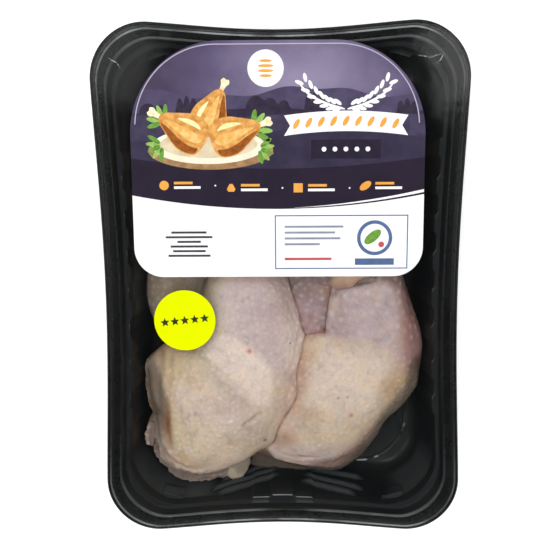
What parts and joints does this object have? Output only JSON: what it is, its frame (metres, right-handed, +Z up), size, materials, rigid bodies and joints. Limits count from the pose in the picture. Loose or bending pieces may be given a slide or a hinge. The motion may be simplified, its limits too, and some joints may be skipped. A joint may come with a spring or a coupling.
{
  "type": "tray pack of raw chicken legs",
  "caption": "Sealed retail pack of raw chicken leg quarters: black waisted plastic tray, clear film lid, printed label and round sticker.",
  "frame": {"origin": "centre of the tray's base, on the surface that the pack lies on", "axes": "+Z up out of the film lid, +Y along the pack towards the end with the label, +X to the pack's right"},
  "size_m": [0.19, 0.268, 0.0513],
  "materials": {
    "tray_plastic": "glossy thermoformed black sheet",
    "lid_film": "clear sealed lidding film",
    "label_paper": "semi-gloss printed paper, violet above and white below",
    "sticker_paper": "bright fluorescent yellow paper",
    "chicken_skin": "moist raw poultry skin, cream to pink-violet"
  },
  "bodies": {
    "root": {"tray": "tray_plastic", "film": "lid_film", "label": "label_paper", "sticker": "sticker_paper", "leg_front_left": "chicken_skin", "leg_front_right": "chicken_skin", "leg_back_right": "chicken_skin", "leg_back_left": "chicken_skin"}
  },
  "joints": []
}
